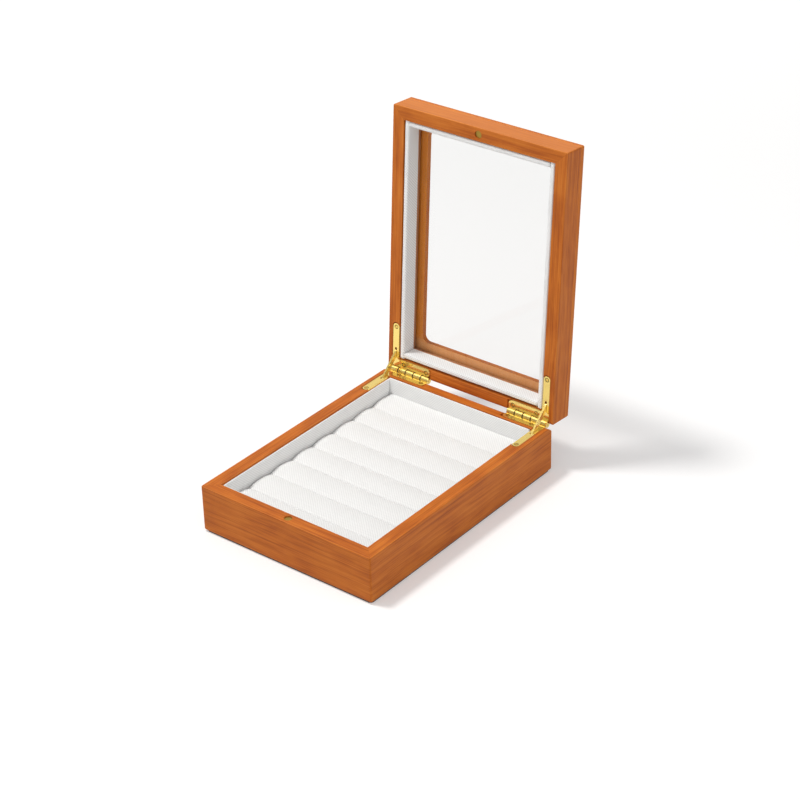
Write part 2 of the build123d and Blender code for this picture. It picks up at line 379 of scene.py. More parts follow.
def figure(finish, length, across, z, place_in_tree):
    """The wood's streaks, fibres, flecks, mottle and late wood, each from 0 to 1."""
    seed_x, seed_y = place_in_tree

    def drawn_out(run, spread, seed, detail):
        """Noise drawn out along the grain, with this many waves per millimetre each way."""
        where = finish.join(length * run, across * spread, z * spread + seed)
        return finish.cloud(where, detail=detail)

    drift = finish.cloud(finish.join(length * 0.012 + seed_x, across * 0.05, z * 0.05 + seed_y))
    heart_across = across + seed_x * 9.0 + (drift - 0.5) * 16.0
    heart_up = z + seed_y * 7.0 + heart_depth
    reach = (heart_across * heart_across + heart_up * heart_up) ** 0.5
    ring = (reach / ring_spacing).fraction()
    late_wood = ring.between(0.3, 0.9) - ring.between(0.9, 1.0)
    streak = drawn_out(0.018, 1.3, seed_x, 3.0)
    fibre = drawn_out(0.05, 4.2, seed_y, 2.0)
    flecks = drawn_out(0.25, 8.0, seed_y, 1.0).between(0.64, 0.78)
    mottle = finish.cloud(finish.join(length * 0.04 + seed_y, across * 0.09, z * 0.09), detail=3.0)
    return streak, fibre, flecks, mottle, late_wood


def worn_and_highlit_edges(x, y, z, part):
    """1 along the rim's inner and outer edges, where the lacquer shows wear and a painted
    highlight, else 0.
    """
    hole_half, hole_front = half_width - rail_width, rail_width - half_depth
    hole_back = half_depth - back_rail_width[part]
    inner = edge_wear_and_highlight(x, y, z, hole_half, hole_front, hole_back)
    outer_half, outer_depth = half_width - pale_edge_inset, half_depth - pale_edge_inset
    return inner.larger(edge_wear_and_highlight(x, y, z, outer_half, -outer_depth, outer_depth))


def wood(name, along, place_in_tree, tone=0.0, part="base", mitres=True, painted_light=None):
    """A wood finish whose grain runs along X or Y, cut from its own place in the tree.

    The last argument, a function of the place on the shut box, gives places of painted light as
    (share, colour).
    """
    finish = new_finish(name)
    x, y, z = finish.parts(shut_place(finish, part == "lid"))
    length, across = (x, y) if along == "X" else (y, x)
    streak, fibre, flecks, mottle, late_wood = figure(finish, length, across, z, place_in_tree)
    shade = 0.53 + tone - late_wood * 0.14 + (streak - 0.5) * 0.95 + (fibre - 0.5) * 0.7
    # The rim tops are made darker, the base's more than the lid's
    on_rim = 1.0 - (z - rim_z).size().between(0.3, 0.6)
    shade = shade + (mottle - 0.5) * 0.85 - flecks * 0.18 - on_rim * rim_darkening[part]
    colour = finish.ramp(shade, [(0.05, wood_dark), (0.5, wood_warm), (0.95, wood_light)])
    # Mixes in the places of painted light and painted sheen
    for share, painted_colour in painted_light(y, z) if painted_light else []:
        colour = finish.mix(share * (0.88 + (streak - 0.5) * 0.8), colour, painted_colour)
    if mitres:
        # Paler edges: partly wear, partly a painted highlight on the arrises
        worn_and_highlit = worn_and_highlit_edges(x, y, z, part) * (0.12 + (streak - 0.5) * 0.8)
        colour = finish.mix(worn_and_highlit.larger(0.0), colour, wood_worn_and_highlit)
        colour = finish.mix(mitre_seam(x, y, part) * 0.35, colour, wood_glue)
    relief = fibre * 0.6 - flecks * 0.5 - late_wood * 0.2
    finish.principled({
        "Base Color": colour,
        "Roughness": 0.44 + (streak - 0.5) * 0.16 + flecks * 0.12,
        "Normal": finish.bump(relief, 0.02 * mm),
        "Coat Weight": 0.03,
        "Coat Roughness": 0.25,
        "Specular IOR Level": 0.13,
    })
    return finish.owner


def lid_front_painted_sheen(y, z):
    """A painted sheen makes the lid's front face paler, which lies uppermost when open."""
    return [((1.0 - (y + half_depth).between(0.02, 0.6)) * 0.5, wood_painted_sheen)]


def panel_painted_light(y, z):
    """Painted light makes the panel's underside lighter behind the glass, most of all beside the
    hinges.
    """
    underside = 1.0 - z.between(glass_face_z - 0.05, glass_face_z + 0.05)
    by_hinges = y.between(hinge_light_start, hinge_light_full)
    return [(underside, wood_lit_behind_glass), (underside * by_hinges, wood_lit_by_hinges)]


rail_cuts = {
    "base_front_rail": ("X", (0.7, 3.1), -0.03),
    "base_back_rail": ("X", (2.9, 1.3), 0.02),
    "base_left_rail": ("Y", (4.2, 0.6), -0.02),
    "base_right_rail": ("Y", (1.6, 2.2), 0.0),
    "lid_front_rail": ("X", (3.4, 4.8), 0.02),
    "lid_back_rail": ("X", (5.3, 2.7), 0.0),
    "lid_left_rail": ("Y", (2.1, 5.5), 0.0),
    "lid_right_rail": ("Y", (6.2, 1.9), -0.02),
}
for name, (along, place_in_tree, tone) in rail_cuts.items():
    part = name.split("_")[0]
    painted_light = lid_front_painted_sheen if name == "lid_front_rail" else None
    dress(name, wood(f"wood_{name}", along, place_in_tree, tone, part, painted_light=painted_light))
panel_wood = wood("wood_window_panel", "Y", (7.1, 3.3), 0.1, "lid", False, panel_painted_light)
dress("lid_window_panel", panel_wood)
dress("base_floor_panel", wood("wood_floor", "Y", (1.1, 6.3), mitres=False))
print("wood finishes:", len(rail_cuts) + 2)

# %% [markdown]
# ## Polished brass
#
# The hinges, screws and stays are brass, polished and lacquered to a gold tone. A mirror-like
# metal needs only its colour, a low roughness that wanders a little where it has been handled,
# and the faintest waviness, because no stamped plate is optically flat. The gaps between knuckles
# and the rings round the screw heads are painted dark: painted shade, where light can't reach
# into the joints. A few small specks are real tarnish.

# %% Brass
brass_colour = (1.0, 0.765, 0.235, 1.0)
brass_handled = (0.88, 0.55, 0.15, 1.0)
brass_tarnish_and_shade = (0.055, 0.030, 0.010, 1.0)
magnet_brass = (0.33, 0.215, 0.04, 1.0)
knuckle_start, knuckle_pitch, knuckle_count = 31.2, 6.12, 5
barrel_reach, barrel_end = 2.3, 2.5
screw_head_radius = 1.45
head_shade_start, head_shade_full = screw_head_radius * 0.60, screw_head_radius * 0.80


def brass(name, roughness, dark_places, colour=brass_colour, metallic=1.0, relief=None):
    """Polished brass, dark where dark_places, a function of the finish, gives 1: for tarnish
    specks on some pieces and for painted shade in the joints on others.

    relief, a function of the finish, gives how much more the surface waves in places.
    """
    finish = new_finish(name)
    where = finish.in_mm()
    handled = finish.cloud(where, scale=0.35, detail=3.0)
    waves = finish.cloud(where, scale=0.55, detail=1.0)
    scuffs = finish.cloud(where, scale=6.0, detail=2.0)
    polished = finish.mix(handled * 0.22, colour, brass_handled)
    dark = dark_places(finish)
    finish.principled({
        # Darker where tarnish specks lie and where shade is painted in the joints
        "Base Color": finish.mix(dark * 0.9, polished, brass_tarnish_and_shade),
        "Metallic": metallic,
        "Roughness": roughness + (scuffs - 0.5) * 0.05 + dark * 0.3,
        "Normal": finish.bump(waves * relief(finish) if relief else waves, 0.003 * mm),
    })
    return finish.owner


def barrel_places(finish):
    """The coordinate along the pin, and 1 on a hinge barrel, else 0."""
    x, y, z = finish.parts(finish.in_mm())
    across, up = y - pin.y / mm, z - pin.z / mm
    from_pin = across * across + up * up
    return x, 1.0 - from_pin.between(barrel_reach ** 2, barrel_end ** 2)


def barrel_relief(finish):
    """The drawn barrels wave more than the stamped plates."""
    return barrel_places(finish)[1] * 5.0 + 1.0


def knuckle_gap_shade(finish):
    """1 in the gaps between a barrel's knuckles, where shade is painted."""
    x, on_barrel = barrel_places(finish)
    step = (x.size() - knuckle_start) / knuckle_pitch + 0.5
    from_gap = (step.fraction() - 0.5).size() * knuckle_pitch
    span = knuckle_count * knuckle_pitch / 2
    from_end = span - (x.size() - knuckle_start - span).size()
    return on_barrel * (1.0 - from_gap.between(0.30, 0.62)) * from_end.between(0.9, 1.2)


def tarnish_specks(finish):
    """1 on a few small specks of tarnish, else 0."""
    specks = finish.cloud(finish.in_mm(), scale=1.7, detail=2.0)
    return specks.between(0.72, 0.8)


def shade_round_the_head(screw):
    """A rule that is 1 on the rim of this screw's head, where shade is painted."""
    low, high = shut_box(screw)
    middle = (low + high) / 2 / mm
    on_lid = nodes[screw]["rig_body"] == "lid"

    def ring(finish):
        x, y, _ = finish.parts(shut_place(finish, on_lid))
        across, along = x - middle.x, y - middle.y
        radius = (across * across + along * along) ** 0.5
        return radius.between(head_shade_start, head_shade_full)

    return ring


leaf_brass = brass("polished_brass", 0.09, knuckle_gap_shade, metallic=0.8, relief=barrel_relief)
stay_brass = brass("stay_brass", 0.2, tarnish_specks, metallic=0.8)
for name in nodes:
    if "screw" in name:
        dress(name, brass(f"brass_{name}", 0.2, shade_round_the_head(name)))
    elif "leaf" in name or "hinge_pin" in name:
        dress(name, leaf_brass)
    elif "stay" in name:
        dress(name, stay_brass)
    elif "magnet" in name:
        dress(name, brass(f"dull_{name}", 0.42, tarnish_specks, magnet_brass))
print("knuckles to a barrel:", knuckle_count)

# %% [markdown]
# ## Glass
#
# The pane is thin and flat, so bending light through it adds nothing but noise. A clear
# surface that reflects a little, more at a glancing angle, looks the same and lets the lamps
# shine through. Facing is 0 seen square on and 1 seen edge on, from inside the pane as well.

# %% Glass
glass_tint = (0.945, 0.945, 0.943, 1.0)
shine_colour = (0.9, 0.92, 0.92, 1.0)
shine_square_on, shine_edge_on, shine_rise = 0.012, 0.9, 5.0
glass = new_finish("window_glass")
clear = glass.make("ShaderNodeBsdfTransparent", None, {"Color": glass_tint}).outputs[0]
shine_inputs = {"Base Color": shine_colour, "Roughness": 0.03, "Metallic": 1.0}
shine = glass.make("ShaderNodeBsdfPrincipled", None, shine_inputs).outputs[0]
facing = glass.node("ShaderNodeLayerWeight", None, {"Blend": 0.5}, output="Facing")
share = facing ** shine_rise * shine_edge_on + shine_square_on
glass.surface(glass.make("ShaderNodeMixShader", None, {0: share, 1: clear, 2: shine}).outputs[0])
dress("lid_glass", glass.owner)
print("glass reflects", shine_square_on, "of the light seen square on")

# %% [markdown]
# ## Linen
#
# The rolls and linings are covered in a white linen-like twill: threads whose crossings step
# sideways row by row, so slanting ribs show from a distance and each crossing makes a dot.
# The weave follows each piece's own UV map, which holds millimetres along and around the piece.
# Along the upper edge of the base's boards it is painted whiter, as painted light where the edge
# catches the lamp. The lid's boards hold the glass from inside, and their last two millimetres
# are bare wood.

# %% Linen
thread_pitch = 0.47
twill_repeat = 4.0
rib_pitch = thread_pitch * twill_repeat
lid_cover_end = 42.4
bare_board = (0.46, 0.175, 0.035, 1.0)
lit_edge_start = {"ends": 31.3, "sides": 30.5}
side_board_face = 55.0
edge_blur = 0.1
painted_lit_edge = (0.99, 0.99, 0.98, 1.0)


def twill(finish, u, v):
    """Thread height from 0 to 1 for a two-over, two-under twill."""
    column, row = (u / thread_pitch), (v / thread_pitch)
    step = ((column.whole() - row.whole()) / twill_repeat).fraction()
    over = step.between(0.30, 0.55)
    warp = 1.0 - ((column.fraction() - 0.5) * 2.0) ** 2.0
    weft = 1.0 - ((row.fraction() - 0.5) * 2.0) ** 2.0
    return (warp * over).larger(weft * (1.0 - over))


def past_the_cover(finish, use, cover):
    """The cover's colour, with the lid's boards bare past its end and painted light on the base's
    upper edge.
    """
    if use == "lid":
        height_shut = finish.parts(shut_place(finish, True))[2]
        bare = height_shut.between(lid_cover_end - edge_blur, lid_cover_end + edge_blur)
        return finish.mix(bare, cover, bare_board)
    if use == "base":
        # Painted light: the base boards' upper edge is whiter
        x, _, z = finish.parts(finish.in_mm())
        on_sides = x.size().between(side_board_face - edge_blur, side_board_face + edge_blur)
        drop = lit_edge_start["ends"] - lit_edge_start["sides"]
        above_start = z + on_sides * drop - lit_edge_start["ends"]
        return finish.mix(above_start.between(-edge_blur, edge_blur), cover, painted_lit_edge)
    return cover


def linen(use, colour, shade, contrast, weave_depth):
    """Twill for one use, its colour running from shade in the furrows to colour on the ribs."""
    finish = new_finish(f"{use}_linen")
    u, v, _ = finish.parts(finish.place("UV"))
    wobble = finish.cloud(finish.in_mm(), scale=0.22, detail=2.0)
    slub = finish.cloud(finish.join(u * 0.12, v * 1.6, 0.0), detail=2.0)
    threads = twill(finish, u + (wobble - 0.5) * 0.8, v + (slub - 0.5) * 0.3)
    turn = 2 * math.pi / rib_pitch
    ribs = ((u - v + (wobble - 0.5) * 0.8) * turn).sine()
    crossings = ((u + v + (wobble - 0.5) * 0.8) * turn).sine()
    height = threads * 0.5 + ribs * 0.35 + crossings * 0.15 + slub * 0.2
    pattern = ribs * 0.26 + crossings * 0.16 + (threads - 0.6) * 0.25
    depth = 0.62 + pattern * contrast + (slub - 0.5) * 0.25 + (wobble - 0.5) * 0.2
    cover = finish.mix(depth.larger(0.0).smaller(1.0), shade, colour)
    finish.principled({
        "Base Color": past_the_cover(finish, use, cover),
        "Roughness": 0.86,
        "Normal": finish.bump(height, weave_depth),
        "Sheen Weight": 0.2,
        "Sheen Roughness": 0.5,
        "Specular IOR Level": 0.15,
    })
    return finish.owner


weaves = {
    "roll": ((0.915, 0.915, 0.905), (0.74, 0.74, 0.73), 1.1, 0.09),
    "base": ((0.94, 0.94, 0.93), (0.70, 0.70, 0.69), 0.8, 0.06),
    "lid": ((0.97, 0.97, 0.96), (0.70, 0.70, 0.69), 1.8, 0.12),
    # The rim's linen is a lighter copy with little furrow shade: painted light along the boards'
    # upper edge
    "rim": ((0.97, 0.97, 0.96), (0.86, 0.86, 0.85), 0.5, 0.03),
}
linens = {
    use: linen(use, (*colour, 1.0), (*shade, 1.0), contrast, depth * mm)
    for use, (colour, shade, contrast, depth) in weaves.items()
}
print("linens:", ", ".join(linens), "with ribs", round(rib_pitch, 2), "mm apart")

# %% [markdown]
# ## Felt and card
#
# The box stands on a thin, nearly black felt, which also stands in for the contact shade along the
# foot of the box, and the rolls are glued to a grey card. Little of either is seen, so plain noise
# does for both: fine fuzz with some sheen for the felt, and soft pulp for the card.

# %% Felt and card
# Nearly black felt, which also paints the contact shade along the box's foot
felt_and_contact_shade, felt_fuzz = (0.012, 0.009, 0.008, 1.0), (0.05, 0.038, 0.032, 1.0)
card_dark, card_light = (0.62, 0.61, 0.58, 1.0), (0.78, 0.77, 0.74, 1.0)

felt = new_finish("dark_felt_and_contact_shade")
fuzz = felt.cloud(felt.in_mm(), scale=3.0, detail=4.0, roughness=0.7)
felt.principled({
    "Base Color": felt.mix(fuzz, felt_and_contact_shade, felt_fuzz),
    "Roughness": 0.95,
    "Normal": felt.bump(fuzz, 0.2 * mm),
    "Sheen Weight": 0.3,
})
dress("base_felt_pad", felt.owner)

card = new_finish("grey_card")
pulp = card.cloud(card.in_mm(), scale=1.2, detail=4.0)
card.principled({
    "Base Color": card.mix(pulp, card_dark, card_light),
    "Roughness": 0.9,
    "Normal": card.bump(pulp, 0.05 * mm),
})
dress("ring_tray_card", card.owner)
print("materials so far:", len(bpy.data.materials))

# %% [markdown]
# ## A skin through rings of points
#
# Rolls and boards are both a cross-section carried along a straight line and drawn in at the
# ends. One helper joins such rings into a closed mesh and writes the UV map that the weave
# needs: how far along, and how far round.

# %% Skin helper


def skin(name, rings):
    """A closed mesh through rings of points, with UVs in millimetres along and around it."""
    count = len(rings[0])
    last = (len(rings) - 1) * count
    vertices = [tuple(point) for ring in rings for point in ring]
    faces = []
    for row in range(len(rings) - 1):
        for step in range(count):
            after = (step + 1) % count
            low, high = row * count, (row + 1) * count
            faces.append((low + step, low + after, high + after, high + step))
    faces.append(tuple(range(count)))
    faces.append(tuple(last + step for step in reversed(range(count))))
    mesh = bpy.data.meshes.new(name)
    mesh.from_pydata(vertices, [], faces)
    middle = rings[len(rings) // 2]
    runs = [(middle[(step + 1) % count] - middle[step]).length / mm for step in range(count)]
    around = [sum(runs[:step]) for step in range(count + 1)]
    span = rings[-1][0] - rings[0][0]
    along = 0 if abs(span.x) > abs(span.y) else 1
    layer = mesh.uv_layers.new(name="weave").data
    for face in mesh.polygons:
        row, first = divmod(face.index, count)
        for loop in face.loop_indices:
            vertex = mesh.loops[loop].vertex_index
            step = vertex % count
            if row < len(rings) - 1 and first == count - 1 and step == 0:
                step = count
            layer[loop].uv = (mesh.vertices[vertex].co[along] / mm, around[step])
    return mesh


def finished(name, mesh, material, body):
    """A piece from a mesh, its faces smooth and turned outwards, riding on a body."""
    work = bmesh.new()
    work.from_mesh(mesh)
    bmesh.ops.recalc_face_normals(work, faces=work.faces)
    for face in work.faces:
        face.smooth = True
    work.to_mesh(mesh)
    work.free()
    mesh.materials.clear()
    mesh.materials.append(material)
    if body == "lid":
        mesh.transform(opened)
    piece = bpy.data.objects.new(name, mesh)
    scene.collection.objects.link(piece)
    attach(piece, body)
    return piece


# %% [markdown]
# ## Ring rolls
#
# A roll is a bar of foam in a linen cover, glued to the tray. Its top is crowned, its shoulders
# are pressed flat where it meets its neighbours, and its ends are cut square and turned over a
# small round. The first and the last roll are pushed up against the lining. Cut foam is never
# quite even, so the crown wanders by a tenth of a millimetre, and the cover gathers a little at
# each end.

# %% Roll cross-section
roll_count = 8
roll_crown = 1.7 * mm
shoulder_radius = 1.3 * mm
end_radius = 2.4 * mm
foot_draw_in = 0.5 * mm
station_pitch = 0.9 * mm
roll_gap = 0.3 * mm
roll_press = 0.25 * mm
wall_shoulder = 3.0 * mm
wall_share = 0.3
side_steps, corner_steps, crown_steps, end_steps = 8, 7, 20, 6
foot_shares = (-0.6, -0.2, 0.2, 0.6)
closing_shares = (0.12, 0.4, 0.75)


def roll_outline(half, height):
    """Points (across, up) from the foot on one side, over the crown, to the other foot."""
    crown_radius = (half ** 2 + roll_crown ** 2) / (2 * roll_crown)
    centre = height - crown_radius
    reach = crown_radius - shoulder_radius
    shoulder = centre + math.sqrt(reach ** 2 - (half - shoulder_radius) ** 2)
    turn = math.atan2(shoulder - centre, half - shoulder_radius)
    side, corner, top = [], [], []
    for step in range(side_steps):
        share = step / side_steps
        side.append((half - foot_draw_in * (1 - share) ** 2, shoulder * share))
    for step in range(corner_steps):
        angle = turn * step / corner_steps
        across = half - shoulder_radius + shoulder_radius * math.cos(angle)
        corner.append((across, shoulder + shoulder_radius * math.sin(angle)))
    for step in range(crown_steps + 1):
        angle = turn + (math.pi - 2 * turn) * step / crown_steps
        top.append((crown_radius * math.cos(angle), centre + crown_radius * math.sin(angle)))
    right_side = side + corner
    left_side = [(-across, up) for across, up in reversed(right_side)]
    under = [(half * share, 0.0) for share in foot_shares]
    return right_side + top + left_side + under


def end_inset(distance):
    """How far the cover is drawn in at this distance from the roll's end."""
    share = max(0.0, 1 - distance / end_radius)
    return end_radius * (1 - math.sqrt(1 - share ** 2))


def pushed_up(up, height, share):
    """Height of a point near the top once a wall has pushed the cover's shoulder up."""
    drop = height - up
    if drop < wall_shoulder:
        return height - drop * share
    lowered = (height - drop) / (height - wall_shoulder)
    return (height - wall_shoulder * share) * lowered


def closing_rings(ring):
    """Smaller and smaller rings that close a roll's end, the smallest first."""
    centre = sum(ring, Vector()) / len(ring)
    return [[centre + (point - centre) * share for point in ring] for share in closing_shares]


# %% Roll mesh
neighbour_gap = 0.01 * mm
wander_mm, sink_mm = 0.14, 0.10
wander_run, wander_spread = 17 * mm, 9 * mm
gather_depth, gather_reach = 0.3 * mm, 3.5 * mm
gather_across, gather_up = 1.7 * mm, 2.6 * mm
wander_seed, gather_seed = 7.3, 3.1


def end_stations(length):
    """Places along a roll, close together round its ends and even between them."""
    turns = [math.pi / 2 * step / end_steps for step in range(end_steps)]
    near = [end_radius * (1 - math.cos(turn)) for turn in turns]
    straight = length - 2 * end_radius
    count = round(straight / station_pitch)
    inner = [end_radius + straight * step / count for step in range(count + 1)]
    return near + inner + [length - distance for distance in reversed(near)]


def roll_mesh(index):
    """A roll's cover: its outline carried from end to end, uneven and gathered at the ends."""
    low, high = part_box(f"ring_roll_{index}")
    middle = (low.y + high.y) / 2
    height, length = high.z - low.z, high.x - low.x
    reach = (high.y - low.y + roll_gap) / 2 - neighbour_gap
    half = reach + roll_press
    wall_side = {1: -1, roll_count: 1}.get(index, 0)
    outline = []
    for across, up in roll_outline(half, height):
        if across * wall_side > 0:
            against_wall = (abs(across) / half) ** 2
            up = pushed_up(up, height, 1 - (1 - wall_share) * against_wall)
        outline.append((across, up))
    rings = []
    for station in end_stations(length):
        distance = min(station, length - station)
        inset = end_inset(distance)
        ring = []
        for across, up in outline:
            share = up / height
            at_crown = Vector((station / wander_run, across / wander_spread, index * wander_seed))
            at_end = Vector((across / gather_across, up / gather_up, index * gather_seed))
            wander = noise.noise(at_crown)
            fold = gather_depth * noise.noise(at_end) * math.exp(-distance / gather_reach)
            narrowed = across * (1 - (inset + abs(fold) * 0.5) / half)
            narrowed = max(-reach, min(reach, narrowed))
            lift = (wander_mm * wander - sink_mm) * mm * share ** 3
            raised = up - inset * share + lift + fold * share ** 3 * 0.5
            ring.append(Vector((low.x + station, middle + narrowed, low.z + max(raised, 0.0))))
        rings.append(ring)
    rings = closing_rings(rings[0]) + rings + list(reversed(closing_rings(rings[-1])))
    return skin(f"linen_roll_{index}", rings)


rolls = []
for index in range(1, roll_count + 1):
    piece = finished(f"linen_roll_{index}", roll_mesh(index), linens["roll"], "base")
    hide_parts(f"ring_roll_{index}")
    rolls.append(piece)
print("roll faces:", len(rolls[0].data.polygons))

# %% [markdown]
# ## Covered lining boards
#
# Each wall of the base and of the lid is lined with a thin board wrapped in the same linen.
# The edge at the rim is what shows most: the cover turns over it in a soft round, the board
# stands a hair away from the wood there, so a dark slit shows, and its face ripples a little.

# %% Lining boards
edge_radius = {"base": 0.55 * mm, "lid": 0.8 * mm}
slit_width = {"base": 0.22 * mm, "lid": 0.65 * mm}
slit_depth = 3.2 * mm
board_station = 0.7 * mm
turn_steps = 4
board_end_round, board_end_draw_in = 0.5 * mm, 0.25 * mm
ripple_run, ripple_rise = 9 * mm, 8 * mm
face_ripple, rim_ripple, rim_reach = 0.10 * mm, 0.16 * mm, 4 * mm
nub_end_inset, nub_sink = 0.8 * mm, 0.12 * mm


def board_outline(thickness, height, part):
    """Points (across, up) round a board: wood side positive, upper edge rounded over."""
    half, radius, slit = thickness / 2, edge_radius[part], slit_width[part]
    wood_side = half - slit
    points = [(half, height * share) for share in (0.0, 0.4, 0.75)]
    points += [(half, height - slit_depth), (wood_side, height - slit_depth + slit)]
    for step in range(turn_steps + 1):
        angle = math.pi / 2 * step / turn_steps
        across = wood_side - radius + radius * math.cos(angle)
        points.append((across, height - radius + radius * math.sin(angle)))
    for step in range(turn_steps + 1):
        angle = math.pi / 2 * (1 + step / turn_steps)
        across = radius - half + radius * math.cos(angle)
        points.append((across, height - radius + radius * math.sin(angle)))
    points += [(-half, (height - radius) * share) for share in (0.85, 0.6, 0.4, 0.2, 0.0)]
    return points


def lining_board(name, seed):
    """A linen-covered board in place of a lining node, and its rim as two end points."""
    low, high = shut_box(name)
    part = name.split("_")[0]
    size = high - low
    runs_along = 0 if size.x > size.y else 1
    thickness_axis = 1 - runs_along
    length, thickness = size[runs_along], size[thickness_axis]
    middle = (low[thickness_axis] + high[thickness_axis]) / 2
    outward = math.copysign(1.0, middle)
    count = round(length / board_station)

    def spot(station, across, up):
        point = Vector((0.0, 0.0, high.z - up if part == "lid" else low.z + up))
        point[runs_along] = low[runs_along] + station
        point[thickness_axis] = middle + across * outward
        return point

    rings = []
    for index in range(count + 1):
        station = length * index / count
        end = min(station, length - station)
        drawn_in = board_end_draw_in * max(0.0, 1 - end / board_end_round) ** 2
        ring = []
        for across, up in board_outline(thickness, size.z, part):
            rim = max(0.0, 1 - (size.z - up) / rim_reach)
            ripple = noise.noise(Vector((station / ripple_run, up / ripple_rise, seed)))
            side = across - math.copysign(drawn_in, across)
            if across < 0:
                side += face_ripple * (0.5 + ripple)
            rise = up - rim_ripple * (0.5 + ripple) * rim
            ring.append(spot(station, side, rise))
        rings.append(ring)
    name = name.replace("lining", "linen_board")
    piece = finished(name, skin(name, rings), linens[part], part)
    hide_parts(name.replace("linen_board", "lining"))
    rim_middle = -slit_width[part] / 2
    rim_up = size.z - nub_sink
    rim_ends = (nub_end_inset, length - nub_end_inset)
    return [spot(station, rim_middle, rim_up) for station in rim_ends]


rims = {"base": [], "lid": []}
for part, lines in rims.items():
    for seed, side in enumerate(("front", "back", "left", "right")):
        lines.append(lining_board(f"{part}_lining_{side}", seed + 0.5))
print("lining boards:", sum(len(lines) for lines in rims.values()))

# %% [markdown]
# ## Thread nubs along the rims
#
# Where the cover turns over a board's edge the twill ribs stand up as a row of slanting nubs,
# which make the edge look beaded, not ruled. Thousands of small equal things are a job for
# Geometry Nodes: walk along each rim in steps of half a rib, put one nub at each step, turn it
# to the rim and slant it, and vary its size a little from a fixed seed.

# %% Nub tree
nub_share_of_pitch = 0.62
smallest_nub, largest_nub, nub_seed = (0.85, 0.94, 0.7), (1.1, 1.04, 1.2), 7


def nub_tree():
    """A tree that walks along the rims' lines and sets a slanting nub at each step."""
    group = bpy.data.node_groups.new("rim_nubs", "GeometryNodeTree")
    sockets = group.interface
    sockets.new_socket("Rims", in_out="INPUT", socket_type="NodeSocketGeometry")
    for name in ("Pitch", "Length", "Thickness", "Slant"):
        sockets.new_socket(name, in_out="INPUT", socket_type="NodeSocketFloat")
    sockets.new_socket("Material", in_out="INPUT", socket_type="NodeSocketMaterial")
    sockets.new_socket("Nubs", in_out="OUTPUT", socket_type="NodeSocketGeometry")
    tree = Tree(group)
    given = tree.make("NodeGroupInput").outputs
    lines = tree.make("GeometryNodeMeshToCurve", None, {"Mesh": given["Rims"]}).outputs[0]
    steps = tree.make("GeometryNodeResampleCurve", {"mode": "LENGTH"},
                      {"Curve": lines, "Length": given["Pitch"]}).outputs[0]
    ball = tree.make("GeometryNodeMeshIcoSphere", None, {"Radius": 0.5, "Subdivisions": 2})
    width = Value(tree, given["Pitch"]) * nub_share_of_pitch
    size = tree.node("ShaderNodeCombineXYZ", None,
                     {"X": width, "Y": given["Length"], "Z": given["Thickness"]}).socket
    nub = tree.make("GeometryNodeTransform", None, {"Geometry": ball.outputs[0], "Scale": size})
    tangent = tree.make("GeometryNodeInputTangent").outputs[0]
    along_rim = tree.make("FunctionNodeAlignRotationToVector", {"axis": "X"}, {"Vector": tangent})
    slant = tree.node("ShaderNodeCombineXYZ", None, {"Z": given["Slant"]}).socket
    turned = tree.make("FunctionNodeRotateRotation", {"rotation_space": "LOCAL"},
                       {"Rotation": along_rim.outputs[0], "Rotate By": slant}).outputs[0]
    uneven = tree.make("FunctionNodeRandomValue", {"data_type": "FLOAT_VECTOR"},
                       {"Min": smallest_nub, "Max": largest_nub, "Seed": nub_seed}).outputs[0]
    placed = tree.make("GeometryNodeInstanceOnPoints", None, {
        "Points": steps, "Instance": nub.outputs[0], "Rotation": turned, "Scale": uneven})
    real = tree.make("GeometryNodeRealizeInstances", None, {"Geometry": placed.outputs[0]})
    coloured = tree.make("GeometryNodeSetMaterial", None,
                         {"Geometry": real.outputs[0], "Material": given["Material"]})
    tree.make("NodeGroupOutput", None, {"Nubs": coloured.outputs[0]})
    return group


# %% Nub pieces
nub_pitch = rib_pitch / 2 * mm
nub_slant = math.radians(28)
nub_height = 0.30 * mm
nub_width = {"base": 0.8 * mm, "lid": 2.7 * mm}


def rim_nubs(group, part, width):
    """One mesh of all the nubs along one body's rims."""
    points = [tuple(point) for line in rims[part] for point in line]
    edges = [(first, first + 1) for first in range(0, len(points), 2)]
    path = bpy.data.meshes.new("rim_path")
    path.from_pydata(points, edges, [])
    carrier = bpy.data.objects.new("rim_path", path)
    scene.collection.objects.link(carrier)
    modifier = carrier.modifiers.new("nubs", "NODES")
    modifier.node_group = group
    values = {"Pitch": nub_pitch, "Length": width, "Thickness": nub_height,
              "Slant": nub_slant, "Material": linens["rim"]}
    for item in group.interface.items_tree:
        if item.in_out == "INPUT" and item.name in values:
            modifier[item.identifier] = values[item.name]
    depsgraph = bpy.context.evaluated_depsgraph_get()
    mesh = bpy.data.meshes.new_from_object(carrier.evaluated_get(depsgraph))
    bpy.data.objects.remove(carrier)
    return finished(f"{part}_rim_nubs", mesh, linens["rim"], part)


nubs = nub_tree()
for part, width in nub_width.items():
    piece = rim_nubs(nubs, part, width)
    print(part, "nub faces:", len(piece.data.polygons))

# %% [markdown]
# ## Studio
#
# The box stands on a white sweep. The shadow's tip shows where the main lamp hung: high up on
# the left, a little in front, and small enough for a soft but readable edge. The pale world
# fills the rest, and for metal it has dark bands and a bright ceiling, which draw the stripes
# along the hinge barrels. The floor's white lends less light to the box than a real sweep of
# this size would, so that the walls stay deeper than the rims, as they do in the photograph.
# To the camera the floor glows a little, most in the distance, where the lamp's light falls off.

# %% Floor
floor_half = 3.0
paper_white, seen_whiter = 0.68, 0.08
glow_near, glow_gain = 0.275, 0.12
glow_start, glow_full = 0.45, 1.1


def rays(finish, *kinds):
    """1 for the rays of these kinds, else 0."""
    paths = finish.make("ShaderNodeLightPath").outputs
    found = [Value(finish, paths[f"Is {kind} Ray"]) for kind in kinds]
    either = found[0]
    for other in found[1:]:
        either = either.larger(other)
    return either


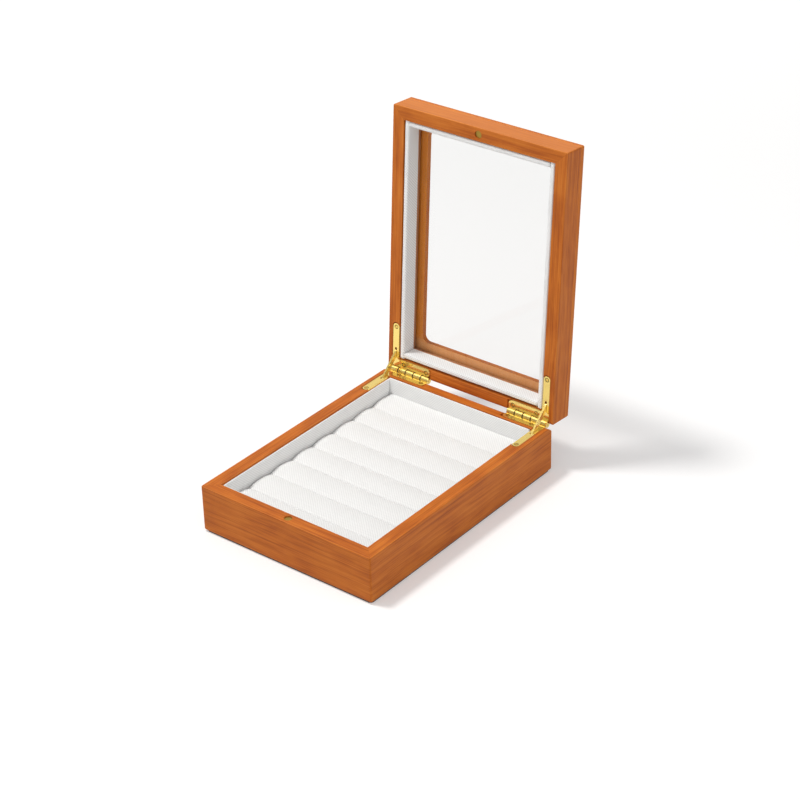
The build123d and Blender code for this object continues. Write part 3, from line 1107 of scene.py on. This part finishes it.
floor_mesh = bpy.data.meshes.new("floor")
signs = [(-1, -1), (1, -1), (1, 1), (-1, 1)]
corners = [(across * floor_half, along * floor_half, 0) for across, along in signs]
floor_mesh.from_pydata(corners, [], [(0, 1, 2, 3)])
floor = bpy.data.objects.new("floor", floor_mesh)
scene.collection.objects.link(floor)
paper = new_finish("paper")
looked_at = rays(paper, "Camera", "Glossy", "Transmission")
x, y, _ = paper.parts(paper.place())
far = ((x * x + y * y) ** 0.5).between(glow_start, glow_full)
white = looked_at * seen_whiter + paper_white
matt = paper.make("ShaderNodeBsdfDiffuse", None, {"Color": white}).outputs[0]
glow = looked_at * (far * glow_gain + glow_near)
lift = paper.make("ShaderNodeEmission", None, {"Strength": glow}).outputs[0]
paper.surface(paper.make("ShaderNodeAddShader", None, {0: matt, 1: lift}).outputs[0])
floor_mesh.materials.append(paper.owner)
print("floor:", floor_half * 2, "m wide")

# %% World
world = bpy.data.worlds.new("studio")
scene.world = world
sky = Finish(world)
seen = rays(sky, "Camera", "Transmission")
mirrored = rays(sky, "Glossy")
x, y, z = sky.parts(sky.make("ShaderNodeTexCoord").outputs["Generated"])
# What the brass mirrors: a dark room behind the camera, and a dark band below a bright ceiling
towards_room = x * 0.55 - y * 0.83
dark_room = towards_room.between(0.15, 0.55) * (1.0 - z.between(0.45, 0.8))
ceiling = z.between(0.74, 0.78)
dark_band = z.between(0.56, 0.64) - ceiling
studio = (1.0 - dark_room * 0.92) * (1.0 - dark_band * 0.8) + ceiling * 1.8
# What lights the box: a pale dome, brighter in front
fill = 0.66 - y * 0.30
strength = seen + (1.0 - seen) * (mirrored * studio + (1.0 - mirrored) * fill)
sky.surface(sky.make("ShaderNodeBackground", None, {"Strength": strength}).outputs[0])
print("world nodes:", len(world.node_tree.nodes))

# %% Lamps
box_middle = Vector((0.0, 0.0, 0.06))


def lamp(name, direction, distance, size, strength, colour):
    """A round soft lamp that lends a white surface facing it this much brightness."""
    light = bpy.data.lights.new(name, "AREA")
    light.shape = "DISK"
    light.size = size
    light.energy = strength * math.pi ** 2 * distance ** 2
    light.color = colour
    thing = bpy.data.objects.new(name, light)
    scene.collection.objects.link(thing)
    thing.location = box_middle + Vector(direction).normalized() * distance
    thing.rotation_euler = (box_middle - thing.location).to_track_quat("-Z", "Y").to_euler()
    print(name, "lamp:", round(light.energy, 1), "W")


lamp("key", direction=(-0.528, -0.290, 1.64), distance=1.735, size=0.30,
     strength=0.575, colour=(1.0, 0.985, 0.965))
lamp("right_fill", direction=(1.0, 0.1, 0.4), distance=1.8, size=1.3,
     strength=0.13, colour=(1.0, 1.0, 1.0))
